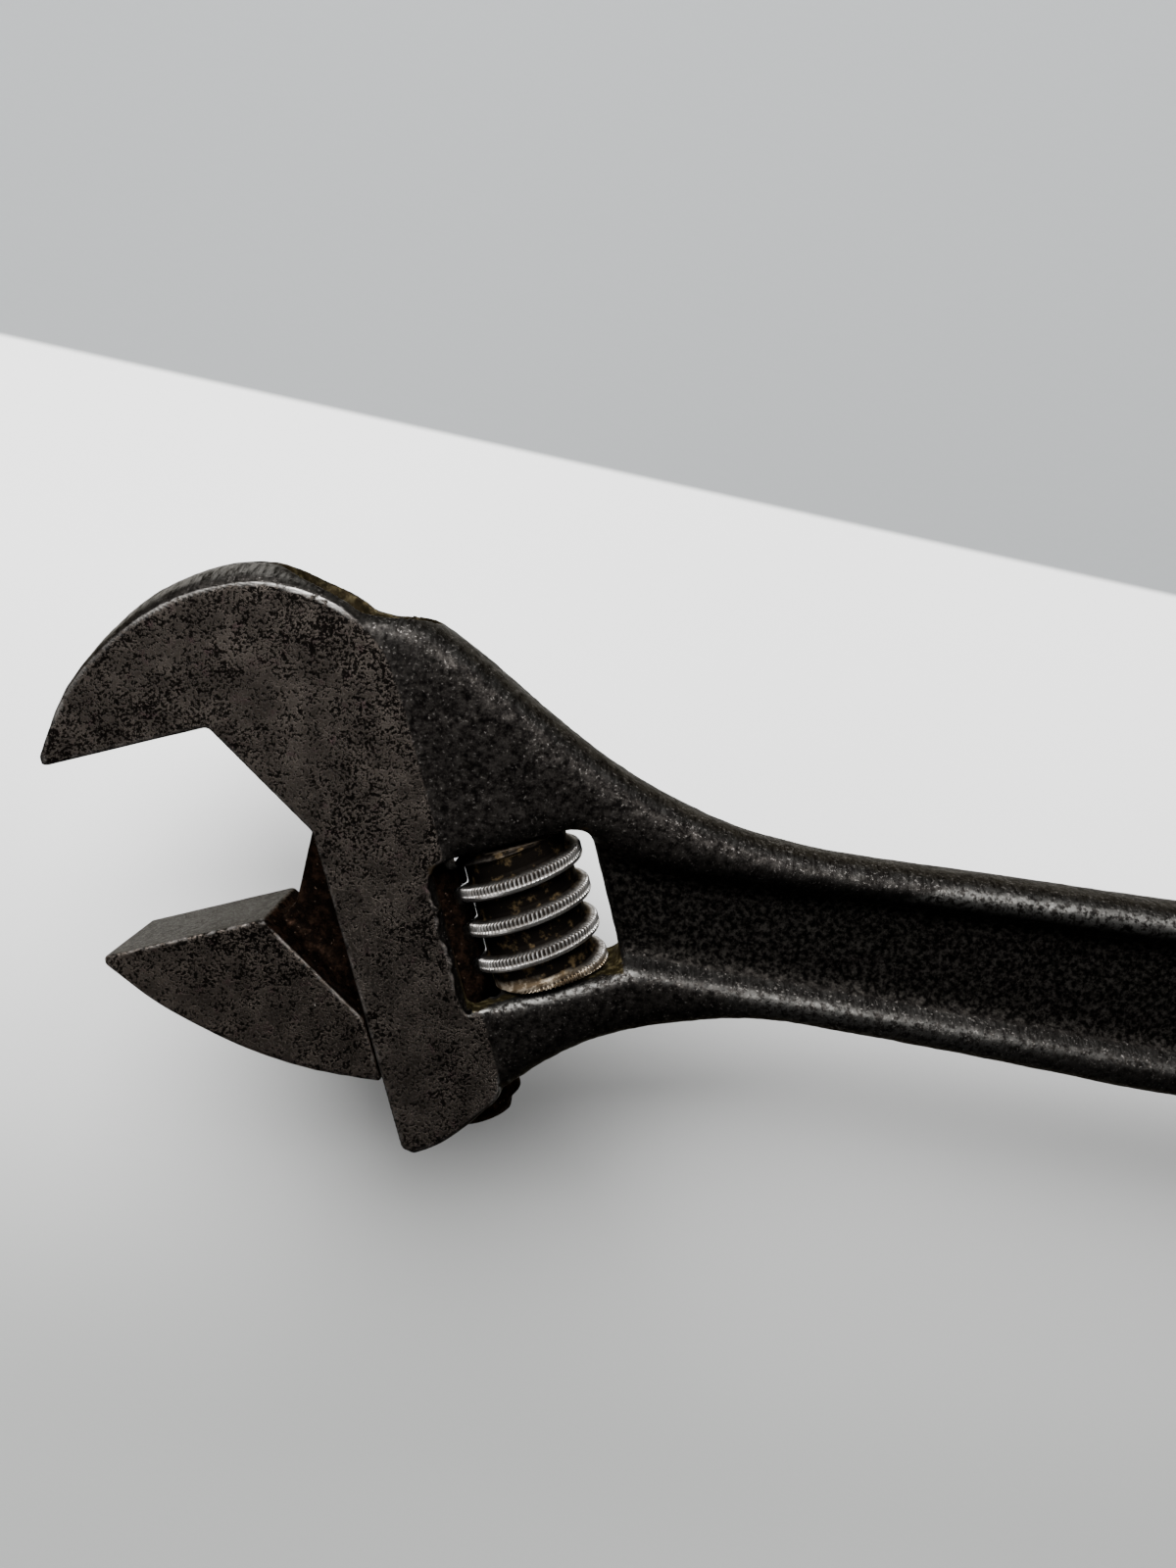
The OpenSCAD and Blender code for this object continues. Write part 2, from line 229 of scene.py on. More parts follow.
def make_body():
    """The body: crisp where it was machined, soft and uneven where it was forged, chipped along the window."""
    field = Field("wrench_body", BODY_VOXEL)
    u, v, n = field.head_axes()
    depth = np.abs(n)
    crisp = blur(field.values, 0.18 / field.voxel)
    soft = blur(field.values, 0.75 / field.voxel)
    side = 1 - ramp01(depth, 5.0, 5.9)
    neck = ramp01(-u, -GROUND_U + 0.1, -GROUND_U + 0.9)
    crown = ramp01(-v, 1, 3) * side
    foot = ramp01(v, 40.5, 42) * side * ramp01(-u, 0.8, 2)
    off_bore = ramp01(np.hypot(u - BORE_U, n), 5.0, 6.4)
    forged = np.maximum(neck, np.maximum(crown, foot) * off_bore).astype(np.float32)
    field.values = crisp + (soft - crisp) * forged
    # the rack bore's mouth runs out into the neck
    mouth = np.maximum(off_mouth(u, n) - MOUTH_R, v - MOUTH_END_V)
    field.values = np.maximum(field.values, -mouth.astype(np.float32))
    # the slot's rim in the throat is worn back, so that the closed jaw's web runs in clear of it
    throat = (u - THROAT_U) * THROAT_NORMAL[0] + v * THROAT_NORMAL[1]
    rim = np.minimum((RIM_WEAR - (depth - SLOT_HALF) + throat) * 0.7, np.minimum(u, v))
    field.values = np.maximum(field.values, rim.astype(np.float32))
    # chips along the window's edge in the ground face
    line = np.stack([v.ravel()] + [np.zeros(v.size)] * 2, axis=1)
    chip = 0.32 + 0.3 * lattice_noise(line, 1.4, 11) + 0.22 * lattice_noise(line, 0.55, 12)
    chip = np.clip(chip, 0, 0.7).reshape(v.shape)
    inside = np.maximum(np.maximum(WINDOW_U - 0.4 - u, u - WINDOW_U - chip),
        np.maximum(WINDOW_V[0] + 0.8 - v, v - WINDOW_V[1] - 0.2))
    inside = np.maximum(inside, (HALF - 1.3 + 1.5 * (u - WINDOW_U) - depth) * 0.7)
    field.values = np.maximum(field.values, -inside.astype(np.float32))
    points, faces = field.mesh()
    piece = piece_from("forged_body", points, faces)
    normals = normals_of(piece)
    rough = field.sample(np.broadcast_to(forged, field.values.shape), points)
    streak = lattice_noise(points, (0.45, 3.0, 3.0), 3)
    bumps = (0.05 * lattice_noise(points, 4.0, 1) + 0.035 * lattice_noise(points, 1.3, 2)
        + 0.02 * streak + 0.022 * lattice_noise(points, 0.55, 4))
    fine = 0.012 * lattice_noise(points, 2.5, 5)
    points = points + normals * (bumps * rough + fine * (1 - rough) - INSET)[:, None]
    set_points(piece, keep_inside(points, *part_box("wrench_body")))
    pu, pv, pn = head_uv(points)
    near = blur(field.values, 0.4 / field.voxel) - field.values
    wide = blur(field.values, 1.3 / field.voxel) - field.values
    edge, swell = field.sample(near, points), field.sample(wide, points)
    flat, off_middle = np.abs(normals[:, 2]), np.abs(pn)
    on_face = ramp01(off_middle, HALF - 0.13, HALF - 0.06)
    add_mask(piece, "ground", on_face * ramp01(pu, GROUND_U - 0.3, GROUND_U + 0.1))
    # a painted highlight on the worn front edge of the crown: bright steel, painted brighter still
    bright = ramp01(edge, 0.06, 0.11) * ramp01(-pv, 3, 5) * ramp01(off_middle, HALF - 0.16, HALF - 0.07)
    bright = bright * ramp01(pu, -9, -6) * (0.12 + 0.88 * ramp01(-pu, -12, -6))
    add_mask(piece, "bright_line", bright)
    in_bore = 1 - ramp01(np.hypot(pu - BORE_U, pn), 4.85, 5.0)
    in_bore = np.maximum(in_bore, (1 - ramp01(off_mouth(pu, pn), 4.6, 4.75)) * (1 - ramp01(pv, 0.9, 1.1)))
    in_slot = (1 - ramp01(off_middle, 2.55, 2.65)) * ramp01(pu, BORE_U - 0.1, BORE_U) * ramp01(-pu, 0.02, 0.3)
    across = np.maximum(WINDOW_U_FAR - 0.12 - pu, pu - WINDOW_U - 0.12)
    along = np.maximum(WINDOW_V[0] - 0.1 - pv, pv - WINDOW_V[1] - 0.1)
    in_window = ramp01(-np.maximum(across, along), -0.02, 0.03)
    add_mask(piece, "inside", np.maximum(in_bore, np.maximum(in_slot, in_window)))
    add_mask(piece, "olive", in_window * ramp01(pv, 28, 31) + in_bore * 0.6)
    add_mask(piece, "crown", rough * ramp01(pu, -10, -7) * ramp01(-pv, 1, 3))
    # the side flanks of the forged skin, which the material paints lighter as painted light
    add_mask(piece, "flank", ramp01(1 - flat, 0.12, 0.5) * rough)
    # painted highlight: a pale ragged line along the window's lower lip, at its bottom edge on the front, where the
    # top-lit edge catches the light
    add_mask(piece, "lip_highlight", ramp01(edge, 0.03, 0.09) * ramp01(pv, 31, 31.6) * ramp01(-pu, 9, 10) * ramp01(pn, 1.5, 3))
    add_mask(piece, "edge", edge / EDGE_FULL)
    add_mask(piece, "crest", swell / SWELL_FULL)
    add_mask(piece, "hollow", -swell / SWELL_FULL)
    # the handle's sunken panels
    add_mask(piece, "panel", ramp01(-off_middle, -3.1, -2.7) * ramp01(flat, 0.5, 0.85) * ramp01(-pu, 20, 23))
    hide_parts("wrench_body")
    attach(piece, "body")
    return piece


def make_jaw():
    """The movable jaw: ground faces, a scratched gripping face, and the brown web and rack."""
    field = Field("movable_jaw", JAW_VOXEL)
    u, v, n = field.head_axes()
    depth = np.abs(n)
    crisp = blur(field.values, 0.16 / field.voxel)
    soft = blur(field.values, 0.7 / field.voxel)
    forged = (1 - ramp01(depth, 5.0, 5.9)) * ramp01(v, OPENING + 1.5, OPENING + 3) * ramp01(u, 0.8, 2)
    forged = forged.astype(np.float32)
    field.values = crisp + (soft - crisp) * forged
    points, faces = field.mesh()
    piece = piece_from("sliding_jaw", points, faces)
    normals = normals_of(piece)
    rough = field.sample(np.broadcast_to(forged, field.values.shape), points)
    bumps = 0.04 * lattice_noise(points, 3.5, 21) + 0.03 * lattice_noise(points, 1.1, 22)
    fine = 0.012 * lattice_noise(points, 2.2, 23)
    points = points + normals * (bumps * rough + fine * (1 - rough) - INSET)[:, None]
    set_points(piece, keep_inside(points, *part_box("movable_jaw")))
    pu, pv, pn = head_uv(points)
    off_middle = np.abs(pn)
    near = blur(field.values, 0.35 / field.voxel) - field.values
    add_mask(piece, "grip", ramp01(normals @ -np.array(V), 0.85, 0.97) * ramp01(-np.abs(pv - OPENING), -0.4, -0.2))
    add_mask(piece, "edge", field.sample(near, points) / EDGE_FULL)
    web = (1 - ramp01(off_middle, 2.4, 2.6)) * (1 - ramp01(pu, 6.3, 6.8))
    # the heel is the slanting face that meets the throat when the jaws are closed
    past_heel = pu - THROAT_U * (1 - np.clip((pv - OPENING) / THROAT_V, 0, 1))
    heel = (1 - ramp01(past_heel, 0.12, 0.3)) * (1 - ramp01(off_middle, HALF - 0.25, HALF - 0.08))
    heel = heel * ramp01(pv, OPENING + 0.1, OPENING + 0.3)
    add_mask(piece, "web", np.maximum(np.maximum(web, heel), ramp01(-pu, 0.3, 0.8)))
    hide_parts("movable_jaw")
    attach(piece, "jaw")
    return piece


# ---- the knurl; lengths in mm ----
KNURL_R, KNURL_ROOT_R, PITCH = 6.35, 5.2, 3.63
SERRATIONS, STEPS = 90, 6  # serrations in a turn, and sections in a serration
KNURL_END = 6.85  # half the knurl's length
CREST_AT_RACK = 21.74 - 24.45  # a crest's height where it faces the rack, from the knurl's middle
SERRATION_DEPTH = 0.3
UPPER_BEVEL = (5.05, 1.1)  # radius at the upper end, and how fast it grows away from it
BORE_R, SEAT_R, SEAT_DEPTH = 2.05, 3.2, 4.2  # the pin's bore, and the spring's wider seat at the upper end
# The thread's section over one pitch, root to root: (height from the crest's middle, radius, serrated share)
THREAD = [
    (-PITCH / 2, KNURL_ROOT_R, 0), (-1.25, KNURL_ROOT_R, 0), (-0.9, KNURL_ROOT_R + 0.08, 0),
    (-0.8, KNURL_ROOT_R + 0.4, 0), (-0.68, KNURL_R - 0.4, 0.2), (-0.62, KNURL_R - 0.15, 0.7),
    (-0.54, KNURL_R - 0.03, 1), (-0.4, KNURL_R, 1), (0.0, KNURL_R, 1), (0.12, KNURL_R, 0.55),
    (0.22, KNURL_R, 0), (0.4, KNURL_R - 0.02, 0), (0.56, KNURL_R - 0.1, 0), (0.68, KNURL_R - 0.4, 0),
    (0.8, KNURL_ROOT_R + 0.4, 0), (0.9, KNURL_ROOT_R + 0.08, 0), (1.25, KNURL_ROOT_R, 0),
]


def make_knurl():
    """Points in mm, faces and notch depths of a right-hand thread with cross-cut serrations, flat at both ends."""
    per_turn = SERRATIONS * STEPS
    first = math.floor((-KNURL_END - CREST_AT_RACK) / PITCH) - 1
    last = math.ceil((KNURL_END - CREST_AT_RACK) / PITCH) + 1
    steps = (last - first) * per_turn
    height = np.array([t[0] for t in THREAD])
    radius = np.array([t[1] for t in THREAD])
    share = np.array([t[2] for t in THREAD])
    turn = first + np.arange(steps + 1) / per_turn
    phase = np.arange(steps + 1) % STEPS / STEPS
    notch = SERRATION_DEPTH * np.clip(1.55 - 4.2 * np.abs(phase - 0.5), 0, 1)
    along = CREST_AT_RACK + PITCH * turn[:, None] + height[None, :]
    out = radius[None, :] - notch[:, None] * share[None, :]
    out = out - np.abs(0.03 * np.sin(turn * 5.1))[:, None] * share[None, :]
    dark = np.clip(notch / SERRATION_DEPTH, 0, 1)[:, None] * share[None, :]
    out = np.minimum(out, np.maximum(UPPER_BEVEL[0] + UPPER_BEVEL[1] * (along + KNURL_END), UPPER_BEVEL[0]))
    # cut at both ends: points past an end move back along their own section to the cut
    for i in range(steps + 1):
        for end in (-KNURL_END, KNURL_END):
            past = along[i] < end if end < 0 else along[i] > end
            if past.any() and not past.all():
                out[i][past] = np.interp(end, along[i], out[i])
            along[i][past] = end
    angle = -2 * math.pi * turn
    rows = np.array([U]) * np.cos(angle)[:, None] + np.array([N]) * np.sin(angle)[:, None]
    points = rows[:, None, :] * out[:, :, None] + np.array(V)[None, None, :] * along[:, :, None]
    count = len(THREAD)
    faces = []
    for i in range(steps):
        beyond_end = along[i].max() <= -KNURL_END or along[i].min() >= KNURL_END
        for j in range(count):
            a, b = i * count + j, (i + 1) * count + j
            if j + 1 < count:
                c, d = b + 1, a + 1
            elif i + per_turn <= steps - 1:
                c, d = (i + 1 + per_turn) * count, (i + per_turn) * count
            else:
                continue
            if not (beyond_end and j + 1 < count):
                faces.append((a, b, c, d))
    return points.reshape(-1, 3) + np.array(KNURL), faces, dark.ravel()


def ring_band(r0, v0, r1, v1, count=120):
    """Points and faces of a band of revolution round the knurl's axis, from one circle to another, in mm."""
    points, faces = [], []
    for r, v in ((r0, v0), (r1, v1)):
        for k in range(count):
            a = 2 * math.pi * k / count
            points.append(KNURL + U * (r * math.cos(a)) + N * (r * math.sin(a)) + V * v)
    for k in range(count):
        j = (k + 1) % count
        faces.append((k, j, count + j, count + k))
    return np.array([tuple(p) for p in points]), faces


def knurl_piece():
    """The knurl: the thread, closed by its flat ends, the spring's seat and the pin's bore."""
    points, faces, dark = make_knurl()
    seat = -KNURL_END + SEAT_DEPTH
    bands = [
        ring_band(BORE_R, KNURL_END, KNURL_ROOT_R, KNURL_END),
        ring_band(KNURL_ROOT_R, -KNURL_END, SEAT_R, -KNURL_END),
        ring_band(SEAT_R, -KNURL_END, SEAT_R, seat),
        ring_band(SEAT_R, seat, BORE_R, seat),
        ring_band(BORE_R, seat, BORE_R, KNURL_END),
    ]
    for more, quads in bands:
        faces = faces + [tuple(k + len(points) for k in q) for q in quads]
        points = np.concatenate([points, more])
    piece = piece_from("worm_knurl", points, faces)
    add_mask(piece, "notch", np.concatenate([dark, np.zeros(len(points) - len(dark))]))
    mesh = bmesh.new()
    mesh.from_mesh(piece.data)
    bmesh.ops.remove_doubles(mesh, verts=mesh.verts, dist=0.004 * MM)
    bmesh.ops.dissolve_degenerate(mesh, edges=mesh.edges, dist=0.001 * MM)
    bmesh.ops.recalc_face_normals(mesh, faces=mesh.faces)
    mesh.to_mesh(piece.data)
    mesh.free()
    piece.data.polygons.foreach_set("use_smooth", np.zeros(len(piece.data.polygons), bool))
    place = np.zeros(len(piece.data.vertices) * 3, np.float32)
    piece.data.vertices.foreach_get("co", place)
    place = place.reshape(-1, 3) / MM - np.array(KNURL)
    along = place @ np.array(V)
    r = np.linalg.norm(place - np.outer(along, np.array(V)), axis=1)
    add_mask(piece, "crest", ramp01(r, KNURL_R - 0.75, KNURL_R - 0.1))
    add_mask(piece, "root", 1 - ramp01(r, KNURL_ROOT_R + 0.1, KNURL_R - 0.5))
    add_mask(piece, "end", ramp01(np.abs(along), KNURL_END - 0.02, KNURL_END - 0.01))
    add_mask(piece, "worn_end", ramp01(along, KNURL_END - 0.9, KNURL_END - 0.5) * ramp01(place[:, 2], 0, 2))
    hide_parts("adjusting_knurl")
    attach(piece, "knurl")
    return piece


# ---- materials ----
class Paint:
    """A node material built up from small helpers. Texture coordinates are the object's own, in metres."""

    def __init__(self, name):
        self.material = bpy.data.materials.new(name)
        self.material.use_nodes = True
        self.tree = self.material.node_tree
        self.shader = self.tree.nodes["Principled BSDF"]
        self.place = self.tree.nodes.new("ShaderNodeTexCoord").outputs["Object"]

    def _plug(self, value, socket):
        if isinstance(value, bpy.types.NodeSocket):
            self.tree.links.new(value, socket)
        else:
            socket.default_value = value

    def turned(self, scale=(1, 1, 1), angle=0.0):
        """The object's coordinates, turned about Z and then stretched."""
        node = self.tree.nodes.new("ShaderNodeMapping")
        node.vector_type = "TEXTURE"
        self._plug(self.place, node.inputs["Vector"])
        node.inputs["Rotation"].default_value = (0, 0, angle)
        node.inputs["Scale"].default_value = scale
        return node.outputs["Vector"]

    def noise(self, size, detail=3.0, rough=0.6, vector=None):
        """Noise with features about size mm across."""
        node = self.tree.nodes.new("ShaderNodeTexNoise")
        self._plug(vector or self.place, node.inputs["Vector"])
        node.inputs["Scale"].default_value = 0.6 / (size * MM)
        node.inputs["Detail"].default_value = detail
        node.inputs["Roughness"].default_value = rough
        return node.outputs["Fac"]

    def mask(self, name):
        """A number that add_mask stored on the vertices."""
        node = self.tree.nodes.new("ShaderNodeAttribute")
        node.attribute_name = name
        return node.outputs["Fac"]

    def math(self, kind, a, b=0.0, c=None):
        node = self.tree.nodes.new("ShaderNodeMath")
        node.operation = kind
        self._plug(a, node.inputs[0])
        self._plug(b, node.inputs[1])
        if c is not None:
            self._plug(c, node.inputs[2])
        return node.outputs[0]

    def step(self, value, low, high, out_low=0.0, out_high=1.0):
        """Smooth step of value from low to high."""
        node = self.tree.nodes.new("ShaderNodeMapRange")
        node.interpolation_type = "SMOOTHSTEP"
        for socket, x in zip(node.inputs, (value, low, high, out_low, out_high)):
            self._plug(x, socket)
        return node.outputs["Result"]

    def times(self, *values):
        total = values[0]
        for value in values[1:]:
            total = self.math("MULTIPLY", total, value)
        return total

    def plus(self, *values):
        total = values[0]
        for value in values[1:]:
            total = self.math("ADD", total, value)
        return total

    def most(self, a, b):
        return self.math("MAXIMUM", a, b)

    def inverse(self, value):
        return self.math("SUBTRACT", 1.0, value)

    def mix(self, share, a, b):
        """Colour a where share is 0, b where it is 1."""
        node = self.tree.nodes.new("ShaderNodeMix")
        node.data_type = "RGBA"
        node.clamp_factor = True
        self._plug(share, node.inputs["Factor"])
        for value, name in ((a, "A_Color"), (b, "B_Color")):
            socket = next(s for s in node.inputs if s.identifier == name)
            self._plug(value if isinstance(value, bpy.types.NodeSocket) else (*value, 1.0), socket)
        return next(s for s in node.outputs if s.identifier == "Result_Color")

    def bump(self, height, depth_mm, strength=1.0):
        node = self.tree.nodes.new("ShaderNodeBump")
        self._plug(height, node.inputs["Height"])
        node.inputs["Distance"].default_value = depth_mm * MM
        node.inputs["Strength"].default_value = strength
        return node.outputs["Normal"]

    def finish(self, color, roughness, metallic=1.0, normal=None):
        color = color if isinstance(color, bpy.types.NodeSocket) else (*color, 1.0)
        self._plug(color, self.shader.inputs["Base Color"])
        self._plug(roughness, self.shader.inputs["Roughness"])
        self._plug(metallic, self.shader.inputs["Metallic"])
        if metallic:
            # grime dulls the glancing edge
            self.shader.inputs["Specular Tint"].default_value = (0.45, 0.44, 0.42, 1.0)
        if normal is not None:
            self._plug(normal, self.shader.inputs["Normal"])
        return self.material


def ground_steel(p, base=(0.05, 0.042, 0.036), deep=(0.001, 0.0008, 0.0007)):
    """Old ground steel: (colour, roughness, height) with black speckle, thicker in patches, and a few nicks."""
    patch = p.noise(5, 4, 0.6)
    tone = p.mix(p.step(p.noise(1.8, 4, 0.6), 0.35, 0.68), base, tuple(c * 1.9 for c in base))
    tint = p.mix(p.step(p.noise(0.8, 2, 0.5), 0.6, 0.8), tone, tuple(c * k for c, k in zip(base, (1.4, 1.15, 1.3))))
    grit = p.plus(p.times(p.noise(0.19, 4, 0.75), 0.7), p.times(p.noise(0.5, 3, 0.7), 0.3))
    level = p.step(patch, 0.3, 0.7, 0.515, 0.455)
    speck = p.step(p.math("SUBTRACT", grit, level), -0.012, 0.04)
    color = p.mix(p.times(speck, 0.97), tint, deep)
    nick = p.step(p.noise(0.3, 1, 0.5, vector=p.turned((1, 2.6, 1), 0.4)), 0.83, 0.86)
    color = p.mix(p.times(nick, 0.7), color, (0.3, 0.28, 0.26))
    rough = p.plus(p.step(grit, 0.3, 0.7, 0.33, 0.43), p.times(speck, 0.15))
    height = p.plus(p.times(grit, -0.25), p.times(speck, -0.2))
    return color, rough, height


def body_material():
    """The body: ground steel on the head's faces, forged skin elsewhere, grime in the bore, slot and window."""
    p = Paint("Old forged steel")
    color, rough, height = ground_steel(p)
    # forged skin: near black on the flat, small pale flecks; lighter on the crests from wear; the flanks dark grey
    # and streaked across, painted lighter than the flat as painted light; the hollows painted darker as painted
    # shade
    grain = p.noise(0.4, 6, 0.75)
    streak = p.noise(0.3, 4, 0.7, vector=p.turned((0.7, 3.5, 3.5)))
    crest, hollow, edge, flank = p.mask("crest"), p.mask("hollow"), p.mask("edge"), p.mask("flank")
    # wear on the crests, plus painted light on the flanks and painted shade in the hollows
    wear_and_painted_light = p.plus(p.times(crest, 0.5), p.times(flank, 0.75), p.times(hollow, -0.3))
    dark = p.mix(p.step(grain, 0.38, 0.66), (0.002, 0.0017, 0.0016), (0.023, 0.0205, 0.0185))
    streaked = p.step(p.plus(p.times(streak, 0.6), p.times(grain, 0.4)), 0.4, 0.62)
    light = p.mix(streaked, (0.006, 0.0055, 0.005), (0.023, 0.0218, 0.0203))
    skin = p.mix(p.step(wear_and_painted_light, 0.1, 0.8), dark, light)
    skin = p.mix(p.times(p.mask("crown"), p.step(streak, 0.35, 0.65)), skin, (0.125, 0.119, 0.11))
    fleck = p.step(p.plus(p.noise(0.2, 4, 0.7), p.times(wear_and_painted_light, 0.05)), 0.62, 0.7)
    skin = p.mix(p.times(fleck, 0.55), skin, (0.16, 0.148, 0.138))
    panel = p.mask("panel")
    sunken = p.mix(p.step(p.noise(0.35, 5, 0.7), 0.42, 0.7), (0.0012, 0.0011, 0.001), (0.02, 0.018, 0.016))
    skin = p.mix(panel, skin, sunken)
    # painted highlight on the window's lower lip
    lip_highlight = p.times(p.mask("lip_highlight"), p.step(p.noise(0.35, 4, 0.7), 0.42, 0.56))
    skin = p.mix(lip_highlight, skin, (0.13, 0.127, 0.12))
    skin_rough = p.plus(p.step(grain, 0.3, 0.7, 0.58, 0.46), p.times(panel, 0.12), p.times(lip_highlight, -0.1))
    ground = p.mask("ground")
    color = p.mix(ground, skin, color)
    rough = p.plus(p.times(ground, rough), p.times(p.inverse(ground), skin_rough))
    # the crown's worn front edge, painted near white as a highlight on top of the wear
    worn_edge_and_painted_highlight = p.times(p.mask("bright_line"), p.step(p.noise(0.5, 3, 0.6), 0.36, 0.5))
    color = p.mix(worn_edge_and_painted_highlight, color, (0.8, 0.77, 0.73))
    rough = p.plus(rough, p.times(worn_edge_and_painted_highlight, -0.15))
    # edges of the ground faces painted lighter: rubbed steel with a painted highlight
    soft_edge = p.times(p.step(edge, 0.4, 0.85), p.step(p.noise(0.9, 3, 0.6), 0.45, 0.6), ground, 0.35)
    color = p.mix(soft_edge, color, (0.18, 0.165, 0.155))
    inside = p.mask("inside")
    grime = p.mix(p.step(p.noise(0.7, 4, 0.65), 0.42, 0.66), (0.005, 0.004, 0.0035), (0.028, 0.02, 0.012))
    olive = p.mix(p.step(p.noise(0.5, 5, 0.7), 0.45, 0.65), (0.014, 0.011, 0.005), (0.085, 0.07, 0.035))
    grime = p.mix(p.mask("olive"), grime, olive)
    color = p.mix(inside, color, grime)
    rough = p.plus(rough, p.times(inside, 0.2))
    skin_height = p.plus(p.times(grain, 0.7), p.times(streak, p.times(flank, 0.6)))
    height = p.plus(p.times(ground, height), p.times(p.inverse(ground), skin_height))
    return p.finish(color, rough, 1.0, p.bump(height, 0.08, 1.0))


def jaw_material():
    """The movable jaw: ground steel, a scratched gripping face, rust on the web and rack."""
    p = Paint("Old jaw steel")
    color, rough, height = ground_steel(p, (0.047, 0.039, 0.033))
    # the gripping face: lighter, with fine crossing scratches
    lines = p.noise(0.09, 2, 0.5, vector=p.turned((1, 14, 1), HEAD_TURN + 0.5))
    cross = p.noise(0.12, 2, 0.5, vector=p.turned((1, 11, 1), HEAD_TURN - 0.4))
    scratch = p.most(p.step(lines, 0.56, 0.66), p.times(p.step(cross, 0.58, 0.68), 0.7))
    grip = p.mask("grip")
    face = p.mix(scratch, (0.03, 0.029, 0.027), (0.085, 0.082, 0.077))
    face = p.mix(p.times(p.step(p.noise(0.6, 5, 0.7), 0.54, 0.64), 0.75), face, (0.009, 0.008, 0.007))
    color = p.mix(grip, color, face)
    web = p.mask("web")
    rust = p.mix(p.step(p.noise(0.6, 5, 0.7), 0.42, 0.7), (0.003, 0.002, 0.0015), (0.018, 0.010, 0.0065))
    rust = p.mix(p.times(p.step(p.noise(0.25, 3, 0.6), 0.66, 0.72), 0.5), rust, (0.16, 0.11, 0.08))
    color = p.mix(web, color, rust)
    edge = p.mask("edge")
    # edges off the web painted lighter: rubbed steel with a painted highlight
    worn_edge_and_painted_highlight = p.times(p.step(edge, 0.4, 0.85), p.step(p.noise(0.8, 3, 0.6), 0.45, 0.6), p.inverse(web), 0.4)
    color = p.mix(worn_edge_and_painted_highlight, color, (0.18, 0.17, 0.16))
    rough = p.plus(rough, p.times(web, 0.2))
    height = p.plus(height, p.times(p.times(grip, scratch), 0.6))
    return p.finish(color, rough, 1.0, p.bump(height, 0.08, 1.0))


def knurl_material():
    """The knurl: bright crests with notches painted dark as painted shade, grime at the root, tan wear on the lower
    end.
    """
    p = Paint("Worn knurl steel")
    crest, root, end, notch = p.mask("crest"), p.mask("root"), p.mask("end"), p.mask("notch")
    spot = p.noise(0.5, 4, 0.65)
    silver = p.mix(p.step(spot, 0.4, 0.62), (0.6, 0.585, 0.565), (0.3, 0.282, 0.262))
    # painted shade: the bottoms of the serrations' notches are painted dark
    silver = p.mix(p.step(notch, 0.15, 0.75), silver, (0.035, 0.028, 0.024))
    grime = p.mix(p.step(p.noise(0.8, 4, 0.65), 0.52, 0.68), (0.005, 0.004, 0.0033), (0.075, 0.052, 0.026))
    flank = p.mix(p.step(spot, 0.45, 0.6), (0.09, 0.078, 0.067), (0.02, 0.016, 0.013))
    color = p.mix(crest, flank, silver)
    color = p.mix(root, color, grime)
    cap = p.mix(p.step(spot, 0.4, 0.62), (0.05, 0.035, 0.022), (0.16, 0.13, 0.1))
    color = p.mix(end, color, cap)
    tan = p.mix(p.step(p.noise(0.7, 4, 0.65), 0.4, 0.6), (0.42, 0.36, 0.28), (0.11, 0.08, 0.05))
    color = p.mix(p.mask("worn_end"), color, tan)
    rough = p.plus(p.step(spot, 0.3, 0.7, 0.3, 0.42), p.times(root, 0.35), p.times(notch, 0.25))
    return p.finish(color, rough, 1.0, p.bump(p.noise(0.4, 4, 0.6), 0.03, 1.0))


def small_part_material(name, low, high, size=0.5):
    """Plain mottled steel between two colours."""
    p = Paint(name)
    color = p.mix(p.step(p.noise(size, 4, 0.65), 0.38, 0.64), low, high)
    rough = p.step(p.noise(size * 0.7, 3), 0.3, 0.7, 0.35, 0.55)
    return p.finish(color, rough, 1.0, p.bump(p.noise(0.3, 3), 0.03, 1.0))


def dress(piece, material):
    piece.data.materials.clear()
    piece.data.materials.append(material)


HEAD_TURN = math.atan2(U.y, U.x)  # the head's turn about Z in the part's frame
dress(make_body(), body_material())
dress(make_jaw(), jaw_material())
dress(knurl_piece(), knurl_material())
pin_steel = small_part_material("Pin steel", (0.05, 0.038, 0.03), (0.2, 0.17, 0.145))
spring_steel = small_part_material("Spring steel", (0.1, 0.08, 0.065), (0.34, 0.31, 0.28), 0.3)
for node, material in (("knurl_pin", pin_steel), ("knurl_spring", spring_steel)):
    dress(frame["nodes"][node], material)


# ---- floor, backdrop, light and camera ----
FLOOR_Z = -0.03
FOLD_AT, FOLD_SLOPE = 0.0366, 0.053  # the floor is painted darker from y = -FOLD_AT - FOLD_SLOPE * x onwards, a painted shade standing in for the upright backdrop


def floor_material():
    p = Paint("Pale table")
    cut = p.tree.nodes.new("ShaderNodeSeparateXYZ")
    p.tree.links.new(p.place, cut.inputs[0])
    # painted shade beyond the fold line, standing in for the upright backdrop in shade
    backdrop_shade = p.math("MULTIPLY_ADD", cut.outputs["X"], -FOLD_SLOPE, p.math("MULTIPLY", cut.outputs["Y"], -1.0))
    backdrop_shade = p.step(backdrop_shade, FOLD_AT - 0.0004, FOLD_AT + 0.0004)
    near = p.mix(p.noise(40, 3, 0.5), (0.9, 0.905, 0.905), (0.94, 0.94, 0.935))
    # painted shade: the floor darkens towards the front, a painted falloff of the light
    near = p.mix(p.step(cut.outputs["Y"], -0.03, 0.09), near, (0.3, 0.305, 0.3))
    tone = p.mix(backdrop_shade, near, (0.225, 0.235, 0.24))
    return p.finish(tone, 0.8, 0.0, p.bump(p.noise(0.6, 3), 0.03, 0.5))


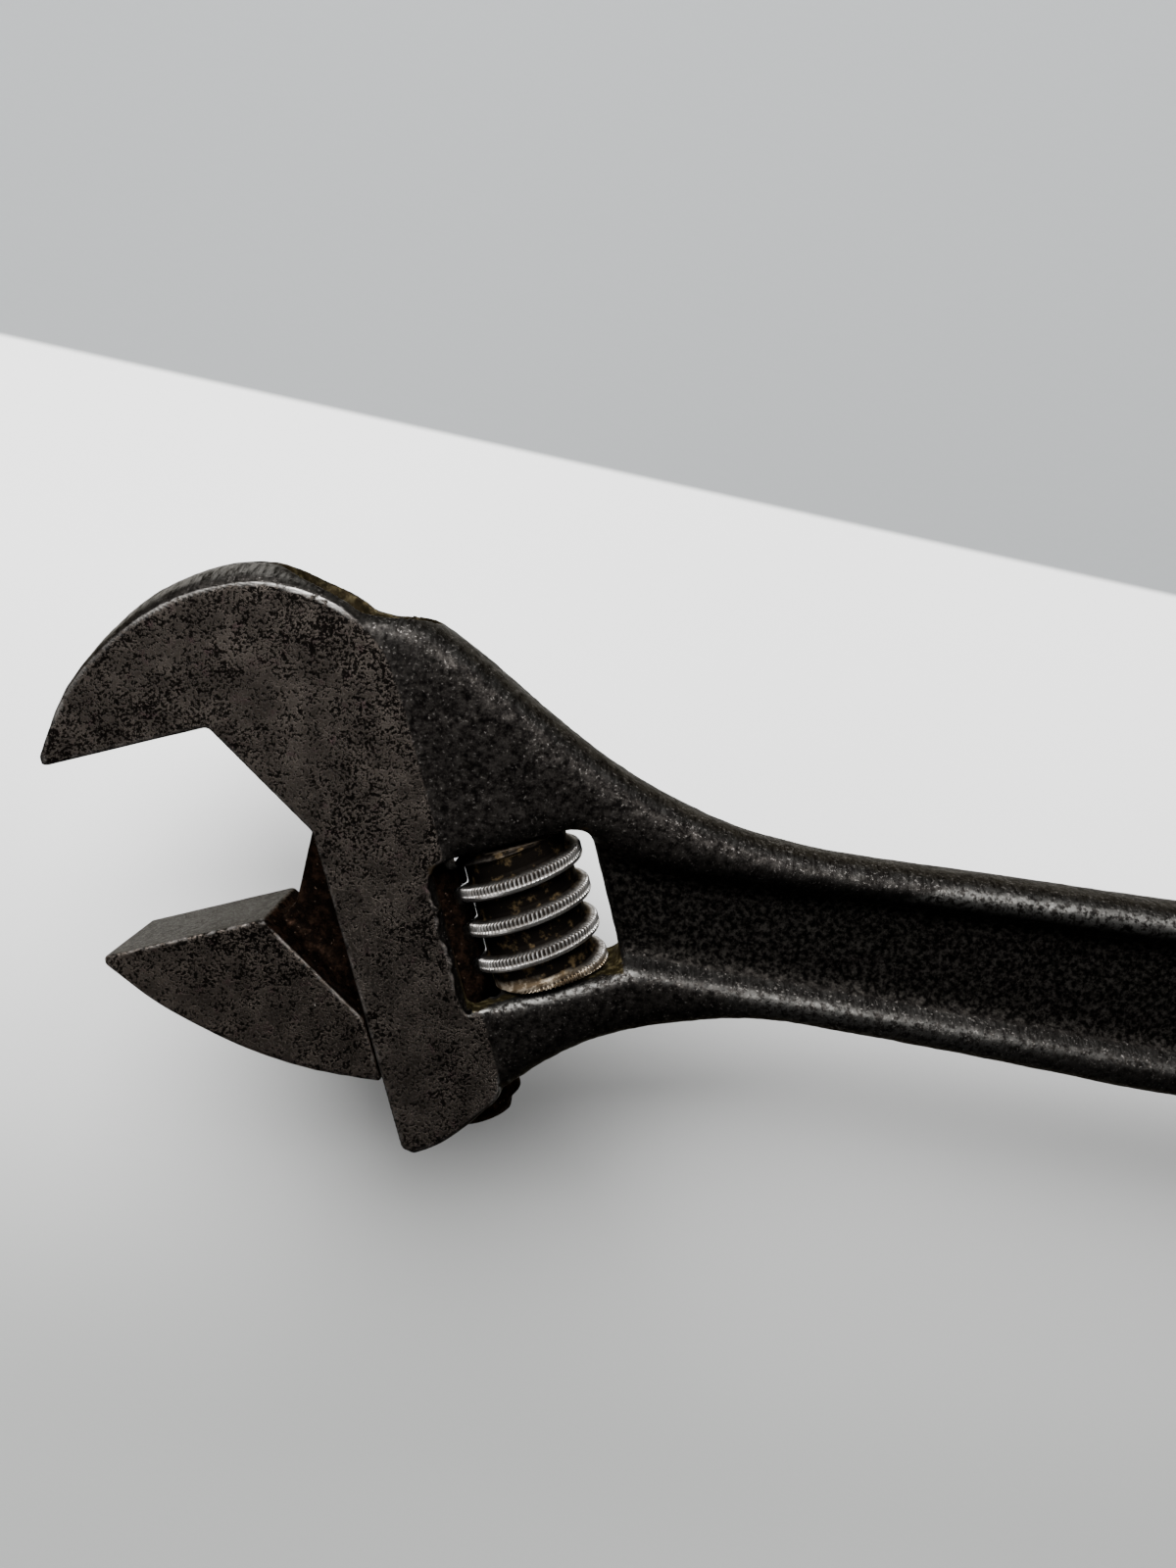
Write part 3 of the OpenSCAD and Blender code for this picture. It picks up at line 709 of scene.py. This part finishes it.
bpy.ops.mesh.primitive_plane_add(size=4, location=(0, 0, FLOOR_Z))
floor = bpy.context.object
floor.name = "floor"
dress(floor, floor_material())


def area_light(name, place, target, size, power, size_y=None):
    """A rectangular lamp at place, aimed at target; sizes in metres, power in watts."""
    data = bpy.data.lights.new(name, "AREA")
    data.shape = "RECTANGLE"
    data.size, data.size_y = size, size_y or size
    data.energy = power
    lamp = bpy.data.objects.new(name, data)
    bpy.context.scene.collection.objects.link(lamp)
    lamp.location = place
    lamp.rotation_euler = (Vector(target) - Vector(place)).to_track_quat("-Z", "Y").to_euler()


area_light("window", (0.26, -0.6, 0.52), (0.13, -0.03, 0), 0.75, 33, 0.55)
area_light("fill", (0.9, 0.4, 0.5), (0.1, 0, 0), 0.6, 3)

# the studio's walls: bright at the horizon, dark overhead
world = bpy.data.worlds.new("studio")
bpy.context.scene.world = world
world.use_nodes = True
sky = world.node_tree
gradient = sky.nodes.new("ShaderNodeTexCoord").outputs["Generated"]
parts = sky.nodes.new("ShaderNodeSeparateXYZ")
sky.links.new(gradient, parts.inputs[0])
ramp = sky.nodes.new("ShaderNodeMapRange")
ramp.inputs["From Min"].default_value, ramp.inputs["From Max"].default_value = 0.0, 0.9
ramp.inputs["To Min"].default_value, ramp.inputs["To Max"].default_value = 1.2, 0.06
sky.links.new(parts.outputs["Z"], ramp.inputs["Value"])
sky.links.new(ramp.outputs["Result"], sky.nodes["Background"].inputs["Strength"])

# the photograph's place and angle, as found from its perspective
eye = Vector((0.1483, -0.0296, 0.1126))
right = Vector((-0.9873, -0.1585, 0.0056)).normalized()
forward = Vector((-0.0307, 0.1561, -0.9873))
forward = (forward - right * forward.dot(right)).normalized()
up = right.cross(forward)
lens = bpy.data.cameras.new("camera")
lens.lens, lens.sensor_width = 27.0, 36.0
lens.clip_start = 0.005
camera = bpy.data.objects.new("camera", lens)
bpy.context.scene.collection.objects.link(camera)
camera.matrix_world = Matrix.Translation(eye) @ Matrix((right, up, -forward)).transposed().to_4x4()
bpy.context.scene.camera = camera
